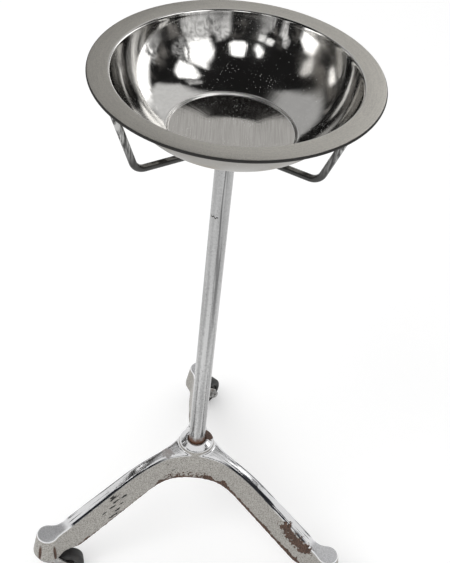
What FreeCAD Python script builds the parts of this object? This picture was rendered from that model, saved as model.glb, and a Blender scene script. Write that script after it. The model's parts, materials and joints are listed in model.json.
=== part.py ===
"""Wash-basin stand: a stainless basin in a rod carrier on a tube, on a three-legged casting with casters.

Millimetres. +Z is up and the origin is on the floor below the column. The rear leg points along +Y.
"""
import FreeCAD, Part
import os
from math import atan2, cos, hypot, pi, radians, sin, sqrt, tan

Vector = FreeCAD.Vector
UP = Vector(0, 0, 1)

# Basin
RIM_HEIGHT = 876.0
RIM_RADIUS = 178.0
RIM_WIDTH = 28.0
WALL_SLOPE = 76.0
WALL_DEPTH = 79.75
FLOOR_RADIUS = 80.0
FLOOR_DROP = 2.5
FLOOR_RAMP = 2.0
BASIN_SHEET = 1.0
LIP_RADIUS = 4.0
BEAD_DIAMETER = 5.0
BASIN_SHIFT = 4.0

# Carrier
ROD_DIAMETER = 9.5
BEAD_TO_RING = 6.25
SEAT_GAP = 0.3
CARRIER_TURN = 2.5
ARM_CORNER_RADIUS = 127.0
ARM_BEND = 18.0
ARM_INSERT = 8.0
HUB_DIAMETER = 38.0
HUB_HEIGHT = 22.0
HUB_EDGE = 1.5
BASIN_TO_HUB = 11.0
SPIGOT_LENGTH = 40.0
SET_SCREW_DIAMETER = 6.0
SET_SCREW_HEAD = 10.0
SET_SCREW_HEAD_HEIGHT = 3.5
SET_SCREW_BELOW_HUB = 18.0
SET_SCREW_DEPTH = 7.0
SET_SCREW_SLOT = 1.6
SET_SCREW_SLOT_DEPTH = 1.8

# Column
TUBE_DIAMETER = 25.4
TUBE_WALL = 1.6
SOCKET_DEPTH = 45.0
PLUG_LENGTH = 32.0
BASE_BOLT = 10.0
BASE_BOLT_HEAD = 17.0
BASE_BOLT_HEAD_HEIGHT = 6.5
BASE_BOLT_GRIP = 24.0
WASHER_DIAMETER = 26.0
WASHER_THICKNESS = 2.5

# Casting
LEG_COUNT = 3
REAR_LEG_ANGLE = 90.0
FOOT_CIRCLE = 252.0
FOOT_RADIUS = 17.0
FOOT_DRAFT_ANGLE = 9.0
FOOT_HEIGHT = 42.0
LEG_RISE = 95.0
LEG_TOP_WIDTH = 20.0
DRAFT_ANGLE = 5.0
CROTCH_RADIUS = 116.0
ANKLE_RADIUS = 30.0
SHOULDER_AT = 78.0
SHOULDER_RADIUS = 190.0
INSTEP_RADIUS = 40.0
INSTEP_TO_STEM = 20.0
ARCH_DEPTH = 50.0
ARCH_START = 65.0
ARCH_RADIUS = 100.0
HEEL_RADIUS = 20.0
HEEL_LENGTH = 24.0
BOSS_HEIGHT = 11.0
BOSS_TOP_RADIUS = 16.5
BOSS_RADIUS = 27.5
BOSS_TOP_FALL = 5.0
TOP_EDGE_ROUND = 2.5
CHANNEL_WIDTH = 12.0
CHANNEL_ROOF = 8.0
CORE_RADIUS = 30.0
OUTLINE_OVERRUN = 5.0

# Casters, one heading for each leg: the way that the wheel trails, from +X
CASTER_NAMES = ["rear", "front_left", "front_right"]
CASTER_HEADINGS = [52.0, 14.0, 4.0]
WHEEL_DIAMETER = 50.8
WHEEL_WIDTH = 20.0
CORE_DIAMETER = 34.0
HUB_BOSS_DIAMETER = 20.0
WEB_RECESS = 4.0
WEB_RIM = 2.0
CORE_INSET = 1.0
TYRE_ROUND = 5.0
TRAIL = 30.0
BUSH_DIAMETER = 12.0
AXLE_DIAMETER = 8.0
AXLE_HEAD_ACROSS = 13.0
AXLE_HEAD_HEIGHT = 5.0
AXLE_END = 2.0
NUT_HEIGHT = 6.0
FORK_SHEET = 2.5
FORK_SIDE_GAP = 1.5
FORK_AXLE_RADIUS = 9.0
CROWN_RADIUS = 18.0
CROWN_TO_WHEEL = 3.2
RACE_GAP = 5.0
BALL_DIAMETER = 4.5
BALL_COUNT = 12
BALL_CIRCLE = 12.0
CUP_SHEET = 2.5
CUP_SKIRT = 1.5
CUP_EDGE = 1.0
KINGPIN_DIAMETER = 9.5
KINGPIN_HEAD = 14.0
KINGPIN_HEAD_HEIGHT = 2.2
STEM_DIAMETER = 11.0
STEM_LENGTH = 34.0
SOCKET_WALL = 1.6
STEM_POINT = 1.0
STEM_GAP = 1.0

# Clearances
FIT = 0.1
RUNNING = 0.05
SIDE_PLAY = 0.35

# Heights and radii worked out from the sizes above
MOUTH_RADIUS = RIM_RADIUS - RIM_WIDTH
AXLE_HEIGHT = WHEEL_DIAMETER / 2
CROWN_BOTTOM = WHEEL_DIAMETER + CROWN_TO_WHEEL
CROWN_TOP = CROWN_BOTTOM + FORK_SHEET
CUP_BOTTOM = CROWN_TOP + RACE_GAP
FOOT_BOTTOM = CUP_BOTTOM + CUP_SHEET
PAD_TOP = FOOT_BOTTOM + FOOT_HEIGHT
HUB_TOP = PAD_TOP + LEG_RISE
BOSS_TOP = HUB_TOP + BOSS_HEIGHT
ARCH_CROWN = HUB_TOP - ARCH_DEPTH
TUBE_BOTTOM = BOSS_TOP - SOCKET_DEPTH
BASIN_BOTTOM = RIM_HEIGHT - WALL_DEPTH - FLOOR_DROP - BASIN_SHEET
CARRIER_TOP = BASIN_BOTTOM - BASIN_TO_HUB
ARM_HEIGHT = CARRIER_TOP - HUB_HEIGHT / 2
TUBE_TOP = CARRIER_TOP - HUB_HEIGHT
RING_HEIGHT = RIM_HEIGHT - BASIN_SHEET - SEAT_GAP - ROD_DIAMETER / 2
RING_RADIUS = RIM_RADIUS - BEAD_DIAMETER - BEAD_TO_RING - ROD_DIAMETER / 2
TUBE_BORE = TUBE_DIAMETER - 2 * TUBE_WALL
LEG_ANGLES = [REAR_LEG_ANGLE + 360.0 / LEG_COUNT * k for k in range(LEG_COUNT)]
ARM_ANGLES = [angle + CARRIER_TURN for angle in LEG_ANGLES]
DRAFT = tan(radians(DRAFT_ANGLE))
FOOT_DRAFT = tan(radians(FOOT_DRAFT_ANGLE))


def export(name, shape):
    """Writes one node to parts/, after checking that it is made of sound solids."""
    solids = shape.Solids
    if not solids or not shape.isValid():
        raise RuntimeError("node " + name + " is not a valid solid")
    if len(solids) == 1:
        shape = solids[0]
    shape.exportStep("parts/" + name + ".step")
    print(name, len(solids), round(shape.Volume))


def cylinder(radius, low, high, x=0.0, y=0.0):
    """An upright cylinder between two heights."""
    return Part.makeCylinder(radius, high - low, Vector(x, y, low), UP)


def hexagon(across, low, high):
    """An upright hexagonal prism on the Z axis."""
    radius = across / 2 / cos(pi / 6)
    points = [Vector(radius * cos(k * pi / 3), radius * sin(k * pi / 3), low) for k in range(7)]
    return Part.Face(Part.makePolygon(points)).extrude(UP * (high - low))


def turned(shape, angle):
    """A copy of a shape turned about the Z axis, in degrees."""
    copy = shape.copy()
    copy.rotate(Vector(0, 0, 0), UP, angle)
    return copy


def moved(shape, x, y, z=0.0):
    """A copy of a shape moved by an offset."""
    copy = shape.copy()
    copy.translate(Vector(x, y, z))
    return copy


def arc(start, end, centre):
    """The shorter arc from start to end about a centre."""
    radius = (start - centre).Length
    middle = centre + ((start - centre) + (end - centre)).normalize() * radius
    return Part.Arc(start, middle, end).toShape()


def rounded(points, radii):
    """Straight runs through the points, with each inner corner rounded to its radius by a tangent arc."""
    edges = []
    last = points[0]
    for before, corner, after, radius in zip(points, points[1:], points[2:], radii):
        towards = (before - corner).normalize()
        away = (after - corner).normalize()
        half = towards.getAngle(away) / 2
        start = corner + towards * (radius / tan(half))
        end = corner + away * (radius / tan(half))
        centre = corner + (towards + away).normalize() * (radius / sin(half))
        edges += [Part.LineSegment(last, start).toShape(), arc(start, end, centre)]
        last = end
    return edges + [Part.LineSegment(last, points[-1]).toShape()]


def section(radius, height):
    """A point of a turned profile, in the XZ plane."""
    return Vector(radius, 0, height)


def revolved(edges):
    """The solid that a closed profile in the XZ plane sweeps round the Z axis."""
    return Part.Face(Part.Wire(Part.__sortEdges__(edges))).revolve(Vector(0, 0, 0), UP, 360)


def joined(points):
    """Straight edges through the points."""
    return [Part.LineSegment(a, b).toShape() for a, b in zip(points, points[1:])]


def basin():
    """The pressed bowl: sunk flat floor, open curved wall, flat rim and rolled bead, a little off centre."""
    bead = BEAD_DIAMETER / 2
    sheet = BASIN_SHEET
    wall_end = section(FLOOR_RADIUS, RIM_HEIGHT - WALL_DEPTH)
    floor = wall_end.z - FLOOR_DROP
    slope = radians(WALL_SLOPE)
    inwards = section(-sin(slope), cos(slope))
    lip_centre = section(MOUTH_RADIUS + LIP_RADIUS * sin(slope), RIM_HEIGHT - LIP_RADIUS)
    wall_top = lip_centre + inwards * LIP_RADIUS
    chord = wall_end - wall_top
    wall_curve = chord.dot(chord) / (2 * chord.dot(inwards))
    wall_centre = wall_top + inwards * wall_curve
    bead_centre = section(RIM_RADIUS - bead, RIM_HEIGHT - bead)
    bead_inside = section(bead_centre.x - sqrt(bead ** 2 - (bead - sheet) ** 2), RIM_HEIGHT - sheet)
    outer_curve = wall_curve + sheet
    outer_end = section(FLOOR_RADIUS, wall_centre.z - sqrt(outer_curve ** 2 - (FLOOR_RADIUS - wall_centre.x) ** 2))
    outer_top = wall_top - inwards * sheet
    inside = [
        *joined([section(0, floor), section(FLOOR_RADIUS - FLOOR_RAMP, floor), wall_end]),
        arc(wall_end, wall_top, wall_centre),
        arc(wall_top, section(lip_centre.x, RIM_HEIGHT), lip_centre),
        *joined([section(lip_centre.x, RIM_HEIGHT), section(bead_centre.x, RIM_HEIGHT)]),
    ]
    rolled = Part.Arc(
        section(bead_centre.x, RIM_HEIGHT), bead_centre - UP * bead, bead_inside
    ).toShape()
    outside = [
        *joined([bead_inside, section(lip_centre.x, RIM_HEIGHT - sheet)]),
        arc(section(lip_centre.x, RIM_HEIGHT - sheet), outer_top, lip_centre),
        arc(outer_top, outer_end, wall_centre),
        *joined([outer_end, section(FLOOR_RADIUS - FLOOR_RAMP, floor - sheet), section(0, floor - sheet),
                 section(0, floor)]),
    ]
    return moved(revolved(inside + [rolled] + outside), BASIN_SHIFT, 0)


def ring(clearance):
    """The rod ring under the rim, just inside the bead, or the space for it."""
    return Part.makeTorus(RING_RADIUS, ROD_DIAMETER / 2 + clearance, Vector(0, 0, RING_HEIGHT), UP)


def arm():
    """One bent rod from the carrier hub out and up to the ring, coped to the ring."""
    start = section(HUB_DIAMETER / 2 - ARM_INSERT, ARM_HEIGHT)
    corner = section(ARM_CORNER_RADIUS, ARM_HEIGHT)
    top = section(RING_RADIUS, RING_HEIGHT)
    path = Part.Wire(rounded([start, corner, top], [ARM_BEND]))
    profile = Part.Wire(Part.makeCircle(ROD_DIAMETER / 2, start, Vector(1, 0, 0)))
    rod = path.makePipeShell([profile], True, False)
    coped = rod.cut(turned(ring(FIT), 180))
    return max(coped.Solids, key=lambda solid: solid.Volume)


def carrier_hub():
    """The turned hub that takes the arms, with a spigot down into the tube and a tapped hole."""
    hub = cylinder(HUB_DIAMETER / 2, TUBE_TOP, CARRIER_TOP)
    hub = hub.makeChamfer(HUB_EDGE, [e for e in hub.Edges if isinstance(e.Curve, Part.Circle)])
    hub = hub.fuse(cylinder(TUBE_BORE / 2 - FIT, TUBE_TOP - SPIGOT_LENGTH, TUBE_TOP)).removeSplitter()
    for angle in ARM_ANGLES:
        seat = Part.makeCylinder(
            ROD_DIAMETER / 2 + RUNNING, HUB_DIAMETER, section(HUB_DIAMETER / 2 - ARM_INSERT, ARM_HEIGHT),
            Vector(1, 0, 0),
        )
        hub = hub.cut(turned(seat, angle))
    return hub.cut(set_screw_shank(FIT))


def set_screw_shank(clearance):
    """The set screw's shank, or the hole for it, from outside the tube towards the axis."""
    height = TUBE_TOP - SET_SCREW_BELOW_HUB
    inner = TUBE_DIAMETER / 2 - SET_SCREW_DEPTH - clearance
    return Part.makeCylinder(
        SET_SCREW_DIAMETER / 2 + clearance, TUBE_DIAMETER / 2 - inner, Vector(0, inner, height), Vector(0, 1, 0)
    )


def set_screw():
    """The slotted screw at the back of the tube that holds the carrier's spigot."""
    height = TUBE_TOP - SET_SCREW_BELOW_HUB
    across = SET_SCREW_HEAD / 2
    seat = sqrt((TUBE_DIAMETER / 2) ** 2 - across ** 2)
    top = TUBE_DIAMETER / 2 + SET_SCREW_HEAD_HEIGHT
    head = Part.makeCylinder(across, top - seat, Vector(0, seat, height), Vector(0, 1, 0))
    head = head.cut(cylinder(TUBE_DIAMETER / 2, height - across, height + across))
    slot = Part.makeBox(
        SET_SCREW_HEAD * 2, SET_SCREW_SLOT_DEPTH, SET_SCREW_SLOT,
        Vector(-SET_SCREW_HEAD, top - SET_SCREW_SLOT_DEPTH, height - SET_SCREW_SLOT / 2),
    )
    return set_screw_shank(0.0).fuse(head.cut(slot)).removeSplitter()


def column_tube():
    """The plain tube from the casting's socket up to the carrier hub."""
    tube = cylinder(TUBE_DIAMETER / 2, TUBE_BOTTOM, TUBE_TOP)
    tube = tube.cut(cylinder(TUBE_BORE / 2, TUBE_BOTTOM, TUBE_TOP))
    through = Part.makeCylinder(
        SET_SCREW_DIAMETER / 2 + FIT, TUBE_DIAMETER, Vector(0, 0, TUBE_TOP - SET_SCREW_BELOW_HUB), Vector(0, 1, 0)
    )
    return tube.cut(through)


def column_plug():
    """The tapped plug brazed into the tube's foot."""
    plug = cylinder(TUBE_BORE / 2 - FIT, TUBE_BOTTOM, TUBE_BOTTOM + PLUG_LENGTH)
    return plug.cut(cylinder(BASE_BOLT / 2 + FIT, TUBE_BOTTOM, TUBE_BOTTOM + PLUG_LENGTH))


def base_washer():
    """The flat washer under the casting."""
    low = ARCH_CROWN - WASHER_THICKNESS
    return cylinder(WASHER_DIAMETER / 2, low, ARCH_CROWN).cut(cylinder(BASE_BOLT / 2 + FIT, low, ARCH_CROWN))


def base_bolt():
    """The hexagon bolt that draws the column's plug down into the casting."""
    seat = ARCH_CROWN - WASHER_THICKNESS
    head = hexagon(BASE_BOLT_HEAD, seat - BASE_BOLT_HEAD_HEIGHT, seat)
    return head.fuse(cylinder(BASE_BOLT / 2, seat, TUBE_BOTTOM + BASE_BOLT_GRIP)).removeSplitter()


def leg_side(growth):
    """Half-width of a leg at the axis and its taper outwards, at the pad's level, grown all round."""
    inner_half = LEG_TOP_WIDTH / 2 + DRAFT * LEG_RISE
    outer_half = LEG_TOP_WIDTH / 2
    inner_at = SHOULDER_AT - SHOULDER_RADIUS * tan(leg_slope() / 2)
    taper = (inner_half - outer_half) / (FOOT_CIRCLE - INSTEP_TO_STEM - inner_at)
    return inner_half + taper * inner_at + growth * sqrt(1 + taper ** 2), taper


def leg_slope():
    """The angle that a leg's back falls at."""
    return atan2(LEG_RISE, FOOT_CIRCLE - INSTEP_TO_STEM - SHOULDER_AT)


def plan_outline(height):
    """The casting's outline seen from above, at a height: legs, crotch arcs, ankle arcs and round feet."""
    growth = DRAFT * (PAD_TOP - height)
    half, taper = leg_side(growth)
    slant = sqrt(1 + taper ** 2)
    normal = Vector(taper, 1, 0) / slant
    crotch = CROTCH_RADIUS - growth
    ankle = ANKLE_RADIUS - growth
    foot = FOOT_RADIUS + FOOT_DRAFT * (PAD_TOP - height)
    spread = pi / LEG_COUNT
    reach = (crotch * slant + half) / (sin(spread) + taper * cos(spread))
    crotch_centre = Vector(reach * cos(spread), reach * sin(spread), 0)
    side_start = crotch_centre - normal * crotch
    level = half + ankle * slant
    a = 1 + taper ** 2
    b = -2 * (FOOT_CIRCLE + taper * level)
    c = FOOT_CIRCLE ** 2 + level ** 2 - (foot + ankle) ** 2
    along = (-b - sqrt(b ** 2 - 4 * a * c)) / (2 * a)
    ankle_centre = Vector(along, level - taper * along, 0)
    side_end = ankle_centre - normal * ankle
    foot_centre = Vector(FOOT_CIRCLE, 0, 0)
    foot_start = foot_centre + (ankle_centre - foot_centre).normalize() * foot
    toe = foot_centre + Vector(foot, 0, 0)
    mirror = lambda p: Vector(p.x, -p.y, 0)
    edges = []
    for angle in LEG_ANGLES:
        leg = [
            Part.LineSegment(mirror(side_start), mirror(side_end)).toShape(),
            arc(mirror(side_end), mirror(foot_start), mirror(ankle_centre)),
            Part.Arc(mirror(foot_start), toe, foot_start).toShape(),
            arc(foot_start, side_end, ankle_centre),
            Part.LineSegment(side_end, side_start).toShape(),
            arc(side_start, turned_point(mirror(side_start), 360.0 / LEG_COUNT), crotch_centre),
        ]
        edges += [moved(turned(edge, angle), 0, 0, height) for edge in leg]
    return Part.Wire(edges)


def turned_point(point, angle):
    """A point turned about the Z axis, in degrees."""
    turn = radians(angle)
    return Vector(point.x * cos(turn) - point.y * sin(turn), point.x * sin(turn) + point.y * cos(turn), point.z)


def leg_back(lower, far):
    """The curve of a leg's back from the axis outwards, sunk by a depth."""
    points = [
        section(0, HUB_TOP - lower),
        section(SHOULDER_AT, HUB_TOP - lower),
        section(FOOT_CIRCLE - INSTEP_TO_STEM, PAD_TOP - lower),
        section(far, PAD_TOP - lower),
    ]
    return points, rounded(points, [SHOULDER_RADIUS, INSTEP_RADIUS])


def base_casting():
    """The three-legged casting: drafted legs and feet, arched below, with a socketed boss."""
    far = FOOT_CIRCLE + 2 * FOOT_RADIUS
    foot_low = FOOT_RADIUS + FOOT_DRAFT * FOOT_HEIGHT
    heel = FOOT_CIRCLE - foot_low - HEEL_LENGTH
    top_points, top = leg_back(0.0, far)
    below = [section(0, ARCH_CROWN), section(ARCH_START, ARCH_CROWN), section(heel, FOOT_BOTTOM),
             section(far, FOOT_BOTTOM)]
    under = rounded(below, [ARCH_RADIUS, HEEL_RADIUS])
    closing = joined([below[-1], top_points[-1]]) + joined([top_points[0], below[0]])
    body = revolved(top + under + closing)
    ends = [plan_outline(HUB_TOP + OUTLINE_OVERRUN), plan_outline(FOOT_BOTTOM - OUTLINE_OVERRUN)]
    outline = Part.makeLoft(ends, True, True)
    casting = body.common(outline)
    casting = casting.makeFillet(TOP_EDGE_ROUND, top_edges(casting))
    casting = casting.fuse(boss())
    casting = casting.cut(leg_channels())
    casting = casting.cut(cylinder(TUBE_DIAMETER / 2 + FIT, TUBE_BOTTOM, BOSS_TOP))
    casting = casting.cut(cylinder(BASE_BOLT / 2 + FIT, ARCH_CROWN, TUBE_BOTTOM))
    for angle in LEG_ANGLES:
        foot = turned_point(Vector(FOOT_CIRCLE, 0, 0), angle)
        bore = STEM_DIAMETER / 2 + FIT + SOCKET_WALL + FIT
        casting = casting.cut(cylinder(bore, FOOT_BOTTOM, FOOT_BOTTOM + STEM_LENGTH + STEM_GAP, foot.x, foot.y))
    return casting


def boss():
    """The low disc round the column's socket, coned on top, standing in the hub."""
    root = HUB_TOP - TOP_EDGE_ROUND
    edge = BOSS_TOP - BOSS_TOP_FALL
    outline = [section(0, root), section(BOSS_RADIUS, root), section(BOSS_RADIUS, edge),
               section(BOSS_TOP_RADIUS, BOSS_TOP), section(0, BOSS_TOP), section(0, root)]
    return revolved(joined(outline))


def top_edges(casting):
    """The edges between the casting's back and its sides."""
    sides = [f for f in casting.Faces if abs(f.normalAt(*middle_of(f)).z) < sin(radians(2 * DRAFT_ANGLE))]
    backs = [f for f in casting.Faces if f.normalAt(*middle_of(f)).z > cos(leg_slope()) - DRAFT]
    found = []
    for edge in casting.Edges:
        on_side = any(edge.isSame(e) for f in sides for e in f.Edges)
        on_back = any(edge.isSame(e) for f in backs for e in f.Edges)
        if on_side and on_back:
            found.append(edge)
    return found


def middle_of(face):
    """The parameters at the middle of a face."""
    u0, u1, v0, v1 = face.ParameterRange
    return (u0 + u1) / 2, (v0 + v1) / 2


def leg_channels():
    """The hollows under the legs, which leave each a U section with a closed foot."""
    end = FOOT_CIRCLE - FOOT_RADIUS - FOOT_DRAFT * FOOT_HEIGHT
    points, roof = leg_back(CHANNEL_ROOF, FOOT_CIRCLE + FOOT_RADIUS)
    low = FOOT_BOTTOM - CHANNEL_ROOF
    floor = joined([points[-1], section(points[-1].x, low), section(0, low), points[0]])
    under_roof = revolved(roof + floor)
    band = cylinder(end, low, HUB_TOP).cut(cylinder(CORE_RADIUS, low, HUB_TOP))
    channels = []
    for angle in LEG_ANGLES:
        slot = Part.makeBox(end, CHANNEL_WIDTH, HUB_TOP - low, Vector(0, -CHANNEL_WIDTH / 2, low))
        channels.append(turned(slot, angle).common(band).common(under_roof))
    return Part.makeCompound(channels)


def caster_socket():
    """The steel sleeve in the foot that grips the stem."""
    inner = STEM_DIAMETER / 2 + FIT
    high = FOOT_BOTTOM + STEM_LENGTH
    return cylinder(inner + SOCKET_WALL, FOOT_BOTTOM, high).cut(cylinder(inner, FOOT_BOTTOM, high))


def caster_stem():
    """Stem, race cup with a skirt, and kingpin with its riveted head, turned as one piece."""
    skirt = CROWN_RADIUS - CUP_SKIRT
    skirt_bottom = CROWN_TOP + SIDE_PLAY
    rivet_top = CROWN_BOTTOM - SIDE_PLAY
    tip = FOOT_BOTTOM + STEM_LENGTH - STEM_GAP
    outline = [
        section(0, tip),
        section(STEM_DIAMETER / 2 - STEM_POINT, tip),
        section(STEM_DIAMETER / 2, tip - STEM_POINT),
        section(STEM_DIAMETER / 2, FOOT_BOTTOM),
        section(CROWN_RADIUS, FOOT_BOTTOM),
        section(CROWN_RADIUS, skirt_bottom),
        section(skirt, skirt_bottom),
        section(skirt, CUP_BOTTOM),
        section(KINGPIN_DIAMETER / 2, CUP_BOTTOM),
        section(KINGPIN_DIAMETER / 2, rivet_top),
        section(KINGPIN_HEAD / 2, rivet_top),
        section(KINGPIN_DIAMETER / 2, rivet_top - KINGPIN_HEAD_HEIGHT),
        section(0, rivet_top - KINGPIN_HEAD_HEIGHT),
        section(0, tip),
    ]
    stem = revolved(joined(outline))
    rim = [e for e in stem.Edges if isinstance(e.Curve, Part.Circle)
           and abs(e.Curve.Radius - CROWN_RADIUS) < FIT and abs(e.Curve.Center.z - FOOT_BOTTOM) < FIT]
    return stem.makeFillet(CUP_EDGE, rim)


def race_balls():
    """The ball race between the cup and the fork's crown."""
    height = (CROWN_TOP + CUP_BOTTOM) / 2
    balls = []
    for k in range(BALL_COUNT):
        turn = 2 * pi * k / BALL_COUNT
        centre = Vector(BALL_CIRCLE * cos(turn), BALL_CIRCLE * sin(turn), height)
        balls.append(Part.makeSphere(BALL_DIAMETER / 2, centre))
    return Part.makeCompound(balls)


def fork_inner():
    """Half the clear width between the fork's cheeks."""
    return WHEEL_WIDTH / 2 + FORK_SIDE_GAP


def across_cylinder(radius, low, high):
    """A cylinder along Y on the axle's line."""
    return Part.makeCylinder(radius, high - low, Vector(TRAIL, low, AXLE_HEIGHT), Vector(0, 1, 0))


def fork_cheek():
    """One raked cheek of the fork, as a flat plate from the crown down to the axle."""
    chord = sqrt(CROWN_RADIUS ** 2 - (fork_inner() + FORK_SHEET) ** 2)
    back = Vector(chord, 0, CROWN_TOP)
    front = Vector(-chord, 0, CROWN_TOP)
    axle = Vector(TRAIL, 0, AXLE_HEIGHT)
    corner_back = tangent_point(back, axle, FORK_AXLE_RADIUS, 1)
    corner_front = tangent_point(front, axle, FORK_AXLE_RADIUS, -1)
    crown = Vector(0, 0, CROWN_TOP)
    lowest = axle + (axle - crown).normalize() * FORK_AXLE_RADIUS
    edges = joined([corner_front, front, back, corner_back])
    edges.append(Part.Arc(corner_back, lowest, corner_front).toShape())
    return Part.Face(Part.Wire(edges)).extrude(Vector(0, FORK_SHEET, 0))


def tangent_point(point, centre, radius, side):
    """Where the tangent from a point touches a circle in the XZ plane, on one side."""
    gap = centre - point
    distance = hypot(gap.x, gap.z)
    turn = atan2(-gap.z, -gap.x) - side * (pi / 2 - atan2(radius, sqrt(distance ** 2 - radius ** 2)))
    return centre + Vector(cos(turn), 0, sin(turn)) * radius


def fork():
    """The swivelling fork: round crown plate, two raked cheeks, kingpin hole and axle holes."""
    inner = fork_inner()
    crown = cylinder(CROWN_RADIUS, CROWN_BOTTOM, CROWN_TOP)
    cheek = fork_cheek()
    shape = crown.fuse([moved(cheek, 0, inner), moved(cheek, 0, -inner - FORK_SHEET)]).removeSplitter()
    shape = shape.cut(cylinder(KINGPIN_DIAMETER / 2 + RUNNING, CROWN_BOTTOM, CROWN_TOP))
    return shape.cut(across_cylinder(AXLE_DIAMETER / 2 + RUNNING, -CROWN_RADIUS, CROWN_RADIUS))


def axle():
    """The axle bolt: hexagon head outside one cheek, plain shank through to the nut."""
    outer = fork_inner() + FORK_SHEET
    head = laid_across(hexagon(AXLE_HEAD_ACROSS, 0, AXLE_HEAD_HEIGHT), outer)
    return head.fuse(across_cylinder(AXLE_DIAMETER / 2, -outer - NUT_HEIGHT - AXLE_END, outer)).removeSplitter()


def axle_nut():
    """The hexagon nut outside the other cheek."""
    outer = fork_inner() + FORK_SHEET
    nut = laid_across(hexagon(AXLE_HEAD_ACROSS, 0, NUT_HEIGHT), -outer - NUT_HEIGHT)
    return nut.cut(across_cylinder(AXLE_DIAMETER / 2 + RUNNING, -outer - NUT_HEIGHT, -outer))


def laid_across(shape, start):
    """A shape made on the Z axis, laid along +Y on the axle's line from a start."""
    copy = shape.copy()
    copy.rotate(Vector(0, 0, 0), Vector(1, 0, 0), -90)
    return moved(copy, TRAIL, start, AXLE_HEIGHT)


def axle_bush():
    """The plain sleeve on the axle between the cheeks, which the wheel turns on."""
    length = fork_inner() - SIDE_PLAY
    return across_cylinder(BUSH_DIAMETER / 2, -length, length).cut(
        across_cylinder(AXLE_DIAMETER / 2 + RUNNING, -length, length)
    )


def wheel_core():
    """The wheel's centre: a bored boss and a web recessed on both sides."""
    half = WHEEL_WIDTH / 2
    core = across_cylinder(CORE_DIAMETER / 2, CORE_INSET - half, half - CORE_INSET)
    rim = CORE_DIAMETER / 2 - WEB_RIM
    for low, high in ((-half, -half + WEB_RECESS), (half - WEB_RECESS, half)):
        core = core.cut(across_cylinder(rim, low, high).cut(across_cylinder(HUB_BOSS_DIAMETER / 2, low, high)))
    return core.cut(across_cylinder(BUSH_DIAMETER / 2 + RUNNING, -half, half))


def tyre():
    """The rubber tread, rounded at its shoulders."""
    half = WHEEL_WIDTH / 2
    tread = across_cylinder(WHEEL_DIAMETER / 2, -half, half)
    shoulders = [e for e in tread.Edges if isinstance(e.Curve, Part.Circle)]
    tread = tread.makeFillet(TYRE_ROUND, shoulders)
    return tread.cut(across_cylinder(CORE_DIAMETER / 2 + RUNNING, -half, half))


def placed_caster(shape, angle, heading):
    """A caster piece made at the origin, turned to its heading and set under its leg's foot."""
    foot = turned_point(Vector(FOOT_CIRCLE, 0, 0), angle)
    return moved(turned(shape, heading), foot.x, foot.y)


def build():
    """Makes every node."""
    os.makedirs("parts", exist_ok=True)
    export("basin", basin())
    export("carrier_ring", ring(0.0))
    rod = arm()
    for name, angle in zip(CASTER_NAMES, ARM_ANGLES):
        export("carrier_arm_" + name, turned(rod, angle))
    export("carrier_hub", carrier_hub())
    export("carrier_set_screw", set_screw())
    export("column_tube", column_tube())
    export("column_plug", column_plug())
    export("base_casting", base_casting())
    export("base_washer", base_washer())
    export("base_bolt", base_bolt())
    pieces = {
        "socket": caster_socket(), "stem": caster_stem(), "race_balls": race_balls(), "fork": fork(),
        "axle": axle(), "axle_nut": axle_nut(), "axle_bush": axle_bush(), "wheel_core": wheel_core(),
        "tyre": tyre(),
    }
    for name, angle, heading in zip(CASTER_NAMES, LEG_ANGLES, CASTER_HEADINGS):
        for piece, shape in pieces.items():
            export("caster_" + name + "_" + piece, placed_caster(shape, angle, heading))


build()
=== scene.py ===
import json
from math import acos, cos, degrees, pi, radians, sin

import bmesh
import bpy
from mathutils import Matrix, Vector


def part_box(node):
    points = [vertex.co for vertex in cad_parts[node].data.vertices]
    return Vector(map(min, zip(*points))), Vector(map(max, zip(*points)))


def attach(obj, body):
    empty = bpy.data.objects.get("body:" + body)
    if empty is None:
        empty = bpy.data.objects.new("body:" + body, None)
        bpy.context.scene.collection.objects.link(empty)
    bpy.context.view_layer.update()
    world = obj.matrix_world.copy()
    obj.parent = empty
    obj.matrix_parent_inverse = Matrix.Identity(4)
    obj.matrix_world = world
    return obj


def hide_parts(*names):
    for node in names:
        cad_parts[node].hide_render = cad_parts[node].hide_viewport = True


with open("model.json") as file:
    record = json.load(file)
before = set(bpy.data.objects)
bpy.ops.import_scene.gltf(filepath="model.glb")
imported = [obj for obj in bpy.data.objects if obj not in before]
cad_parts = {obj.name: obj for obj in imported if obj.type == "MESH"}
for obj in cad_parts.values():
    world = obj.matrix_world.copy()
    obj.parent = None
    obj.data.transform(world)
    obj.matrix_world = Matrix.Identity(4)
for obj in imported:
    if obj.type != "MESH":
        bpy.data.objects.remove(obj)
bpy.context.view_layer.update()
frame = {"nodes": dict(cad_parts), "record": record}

print("frame loaded:", len(frame["nodes"]), "nodes")


# One socket of a node tree, so that sums on surfaces read as plain arithmetic
class Wire:
    def __init__(self, finish, socket):
        self.finish = finish
        self.socket = socket

    def maths(self, operation, first, second):
        return self.finish.node("ShaderNodeMath", {"operation": operation}, {0: first, 1: second})

    def __add__(self, other):
        return self.maths("ADD", self, other)

    def __radd__(self, other):
        return self.maths("ADD", other, self)

    def __sub__(self, other):
        return self.maths("SUBTRACT", self, other)

    def __rsub__(self, other):
        return self.maths("SUBTRACT", other, self)

    def __mul__(self, other):
        return self.maths("MULTIPLY", self, other)

    def __rmul__(self, other):
        return self.maths("MULTIPLY", other, self)

    def __truediv__(self, other):
        return self.maths("DIVIDE", self, other)

    def __pow__(self, other):
        return self.maths("POWER", self, other)


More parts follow.
